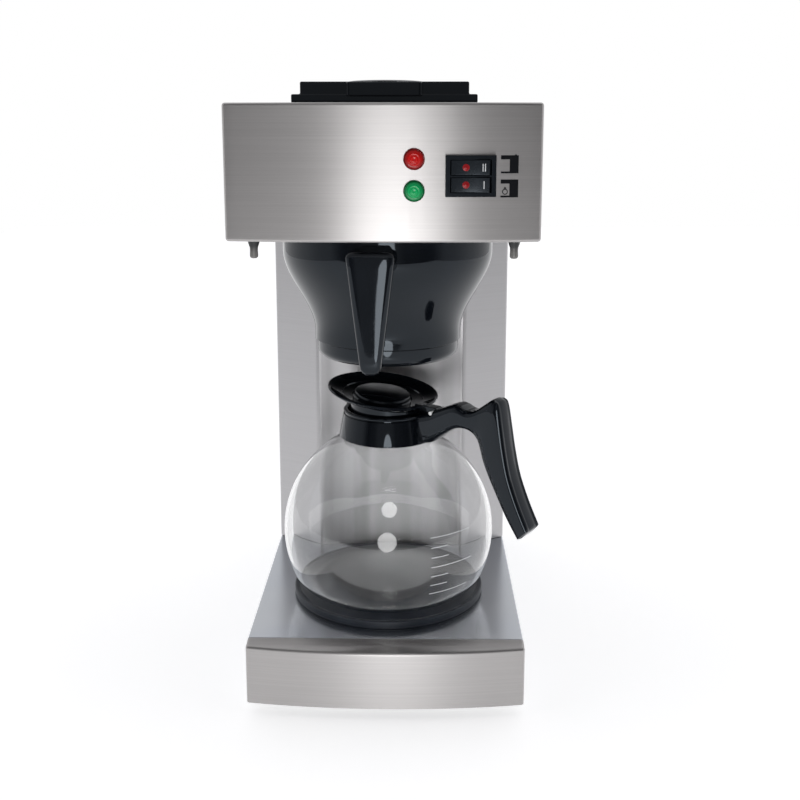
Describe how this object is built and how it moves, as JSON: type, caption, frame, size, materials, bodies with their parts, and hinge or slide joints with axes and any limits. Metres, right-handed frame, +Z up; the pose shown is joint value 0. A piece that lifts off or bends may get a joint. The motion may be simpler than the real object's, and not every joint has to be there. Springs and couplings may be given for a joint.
{
  "type": "drip coffee maker",
  "caption": "Commercial pour-over coffee brewer with a sliding filter basket, warmer plates and a round glass decanter with a hinged lid.",
  "frame": {"origin": "middle of the machine's box, on the surface that it stands on", "axes": "+Z up, -Y towards the front, +X to the right as seen from the front"},
  "size_m": [0.2207, 0.396, 0.4601],
  "materials": {
    "brushed_steel": "brushed",
    "satin_steel": "satin",
    "tank_steel": "plain",
    "warmer_coating": "satin non-stick coating",
    "heater_metal": "cast",
    "gloss_black": "glossy",
    "matte_black": "matte",
    "rivet_grey": "satin",
    "clear_glass": "clear",
    "red_lens": "translucent",
    "green_lens": "translucent",
    "lamp_body": "plain",
    "rubber": "matte",
    "silicone": "satin",
    "inner_plastic": "plain",
    "screw_zinc": "zinc plated"
  },
  "bodies": {
    "housing": {"base_bottom_plate": "brushed_steel", "base_front_panel": "brushed_steel", "base_shell": "satin_steel", "basket_rail_left": "brushed_steel", "basket_rail_right": "brushed_steel", "column_front": "brushed_steel", "cord_gland": "matte_black", "fill_tube": "silicone", "foot_front_left": "rubber", "foot_front_right": "rubber", "foot_rear_left": "rubber", "foot_rear_right": "rubber", "green_lamp": "lamp_body", "green_lens": "green_lens", "head_bottom_plate": "brushed_steel", "head_front_panel": "brushed_steel", "head_shell": "brushed_steel", "inlet_basin": "tank_steel", "lower_warmer_element": "heater_metal", "lower_warmer_plate": "warmer_coating", "rear_cover": "brushed_steel", "rear_screw_1": "screw_zinc", "rear_screw_2": "screw_zinc", "rear_screw_3": "screw_zinc", "rear_screw_4": "screw_zinc", "red_lamp": "lamp_body", "red_lens": "red_lens", "rivet_left": "rivet_grey", "rivet_right": "rivet_grey", "spray_head": "inner_plastic", "spray_tube": "silicone", "switch_body": "matte_black", "switch_frame": "gloss_black", "tank_heater": "heater_metal", "tank_lid": "tank_steel", "terminal_block": "inner_plastic", "thermostat": "matte_black", "upper_warmer_element": "heater_metal", "upper_warmer_plate": "warmer_coating", "water_tank": "tank_steel"},
    "decanter": {"decanter_glass": "clear_glass", "decanter_collar": "gloss_black", "decanter_handle": "gloss_black", "lid_pin": "screw_zinc"},
    "decanter_lid": {"decanter_lid": "gloss_black"},
    "basket": {"brew_basket": "gloss_black", "basket_handle": "gloss_black", "basket_screw": "screw_zinc"},
    "fill_lid": {"basin_lid": "gloss_black", "lid_cap": "gloss_black"},
    "rocker_upper": {"rocker_upper": "gloss_black"},
    "rocker_lower": {"rocker_lower": "gloss_black"}
  },
  "joints": [
    {"name": "decanter_slide", "type": "slide", "parent": "housing", "child": "decanter", "axis": [0, -1, 0], "range_m": [0, 0.2]},
    {"name": "decanter_lid_hinge", "type": "hinge", "parent": "decanter", "child": "decanter_lid", "pos_m": [0.03279, -0.09413, 0.21141], "axis": [-0.5736, -0.8192, 0], "range_deg": [-11, 0]},
    {"name": "basket_slide", "type": "slide", "parent": "housing", "child": "basket", "axis": [0, -1, 0], "range_m": [0, 0.2]},
    {"name": "fill_lid_lift", "type": "slide", "parent": "housing", "child": "fill_lid", "axis": [0, 0, 1], "range_m": [0, 0.12]},
    {"name": "rocker_upper_tip", "type": "hinge", "parent": "housing", "child": "rocker_upper", "pos_m": [0.05151, -0.19207, 0.40203], "axis": [0, 0, 1], "range_deg": [0, 14]},
    {"name": "rocker_lower_tip", "type": "hinge", "parent": "housing", "child": "rocker_lower", "pos_m": [0.05151, -0.19207, 0.39083], "axis": [0, 0, 1], "range_deg": [0, 14]}
  ]
}
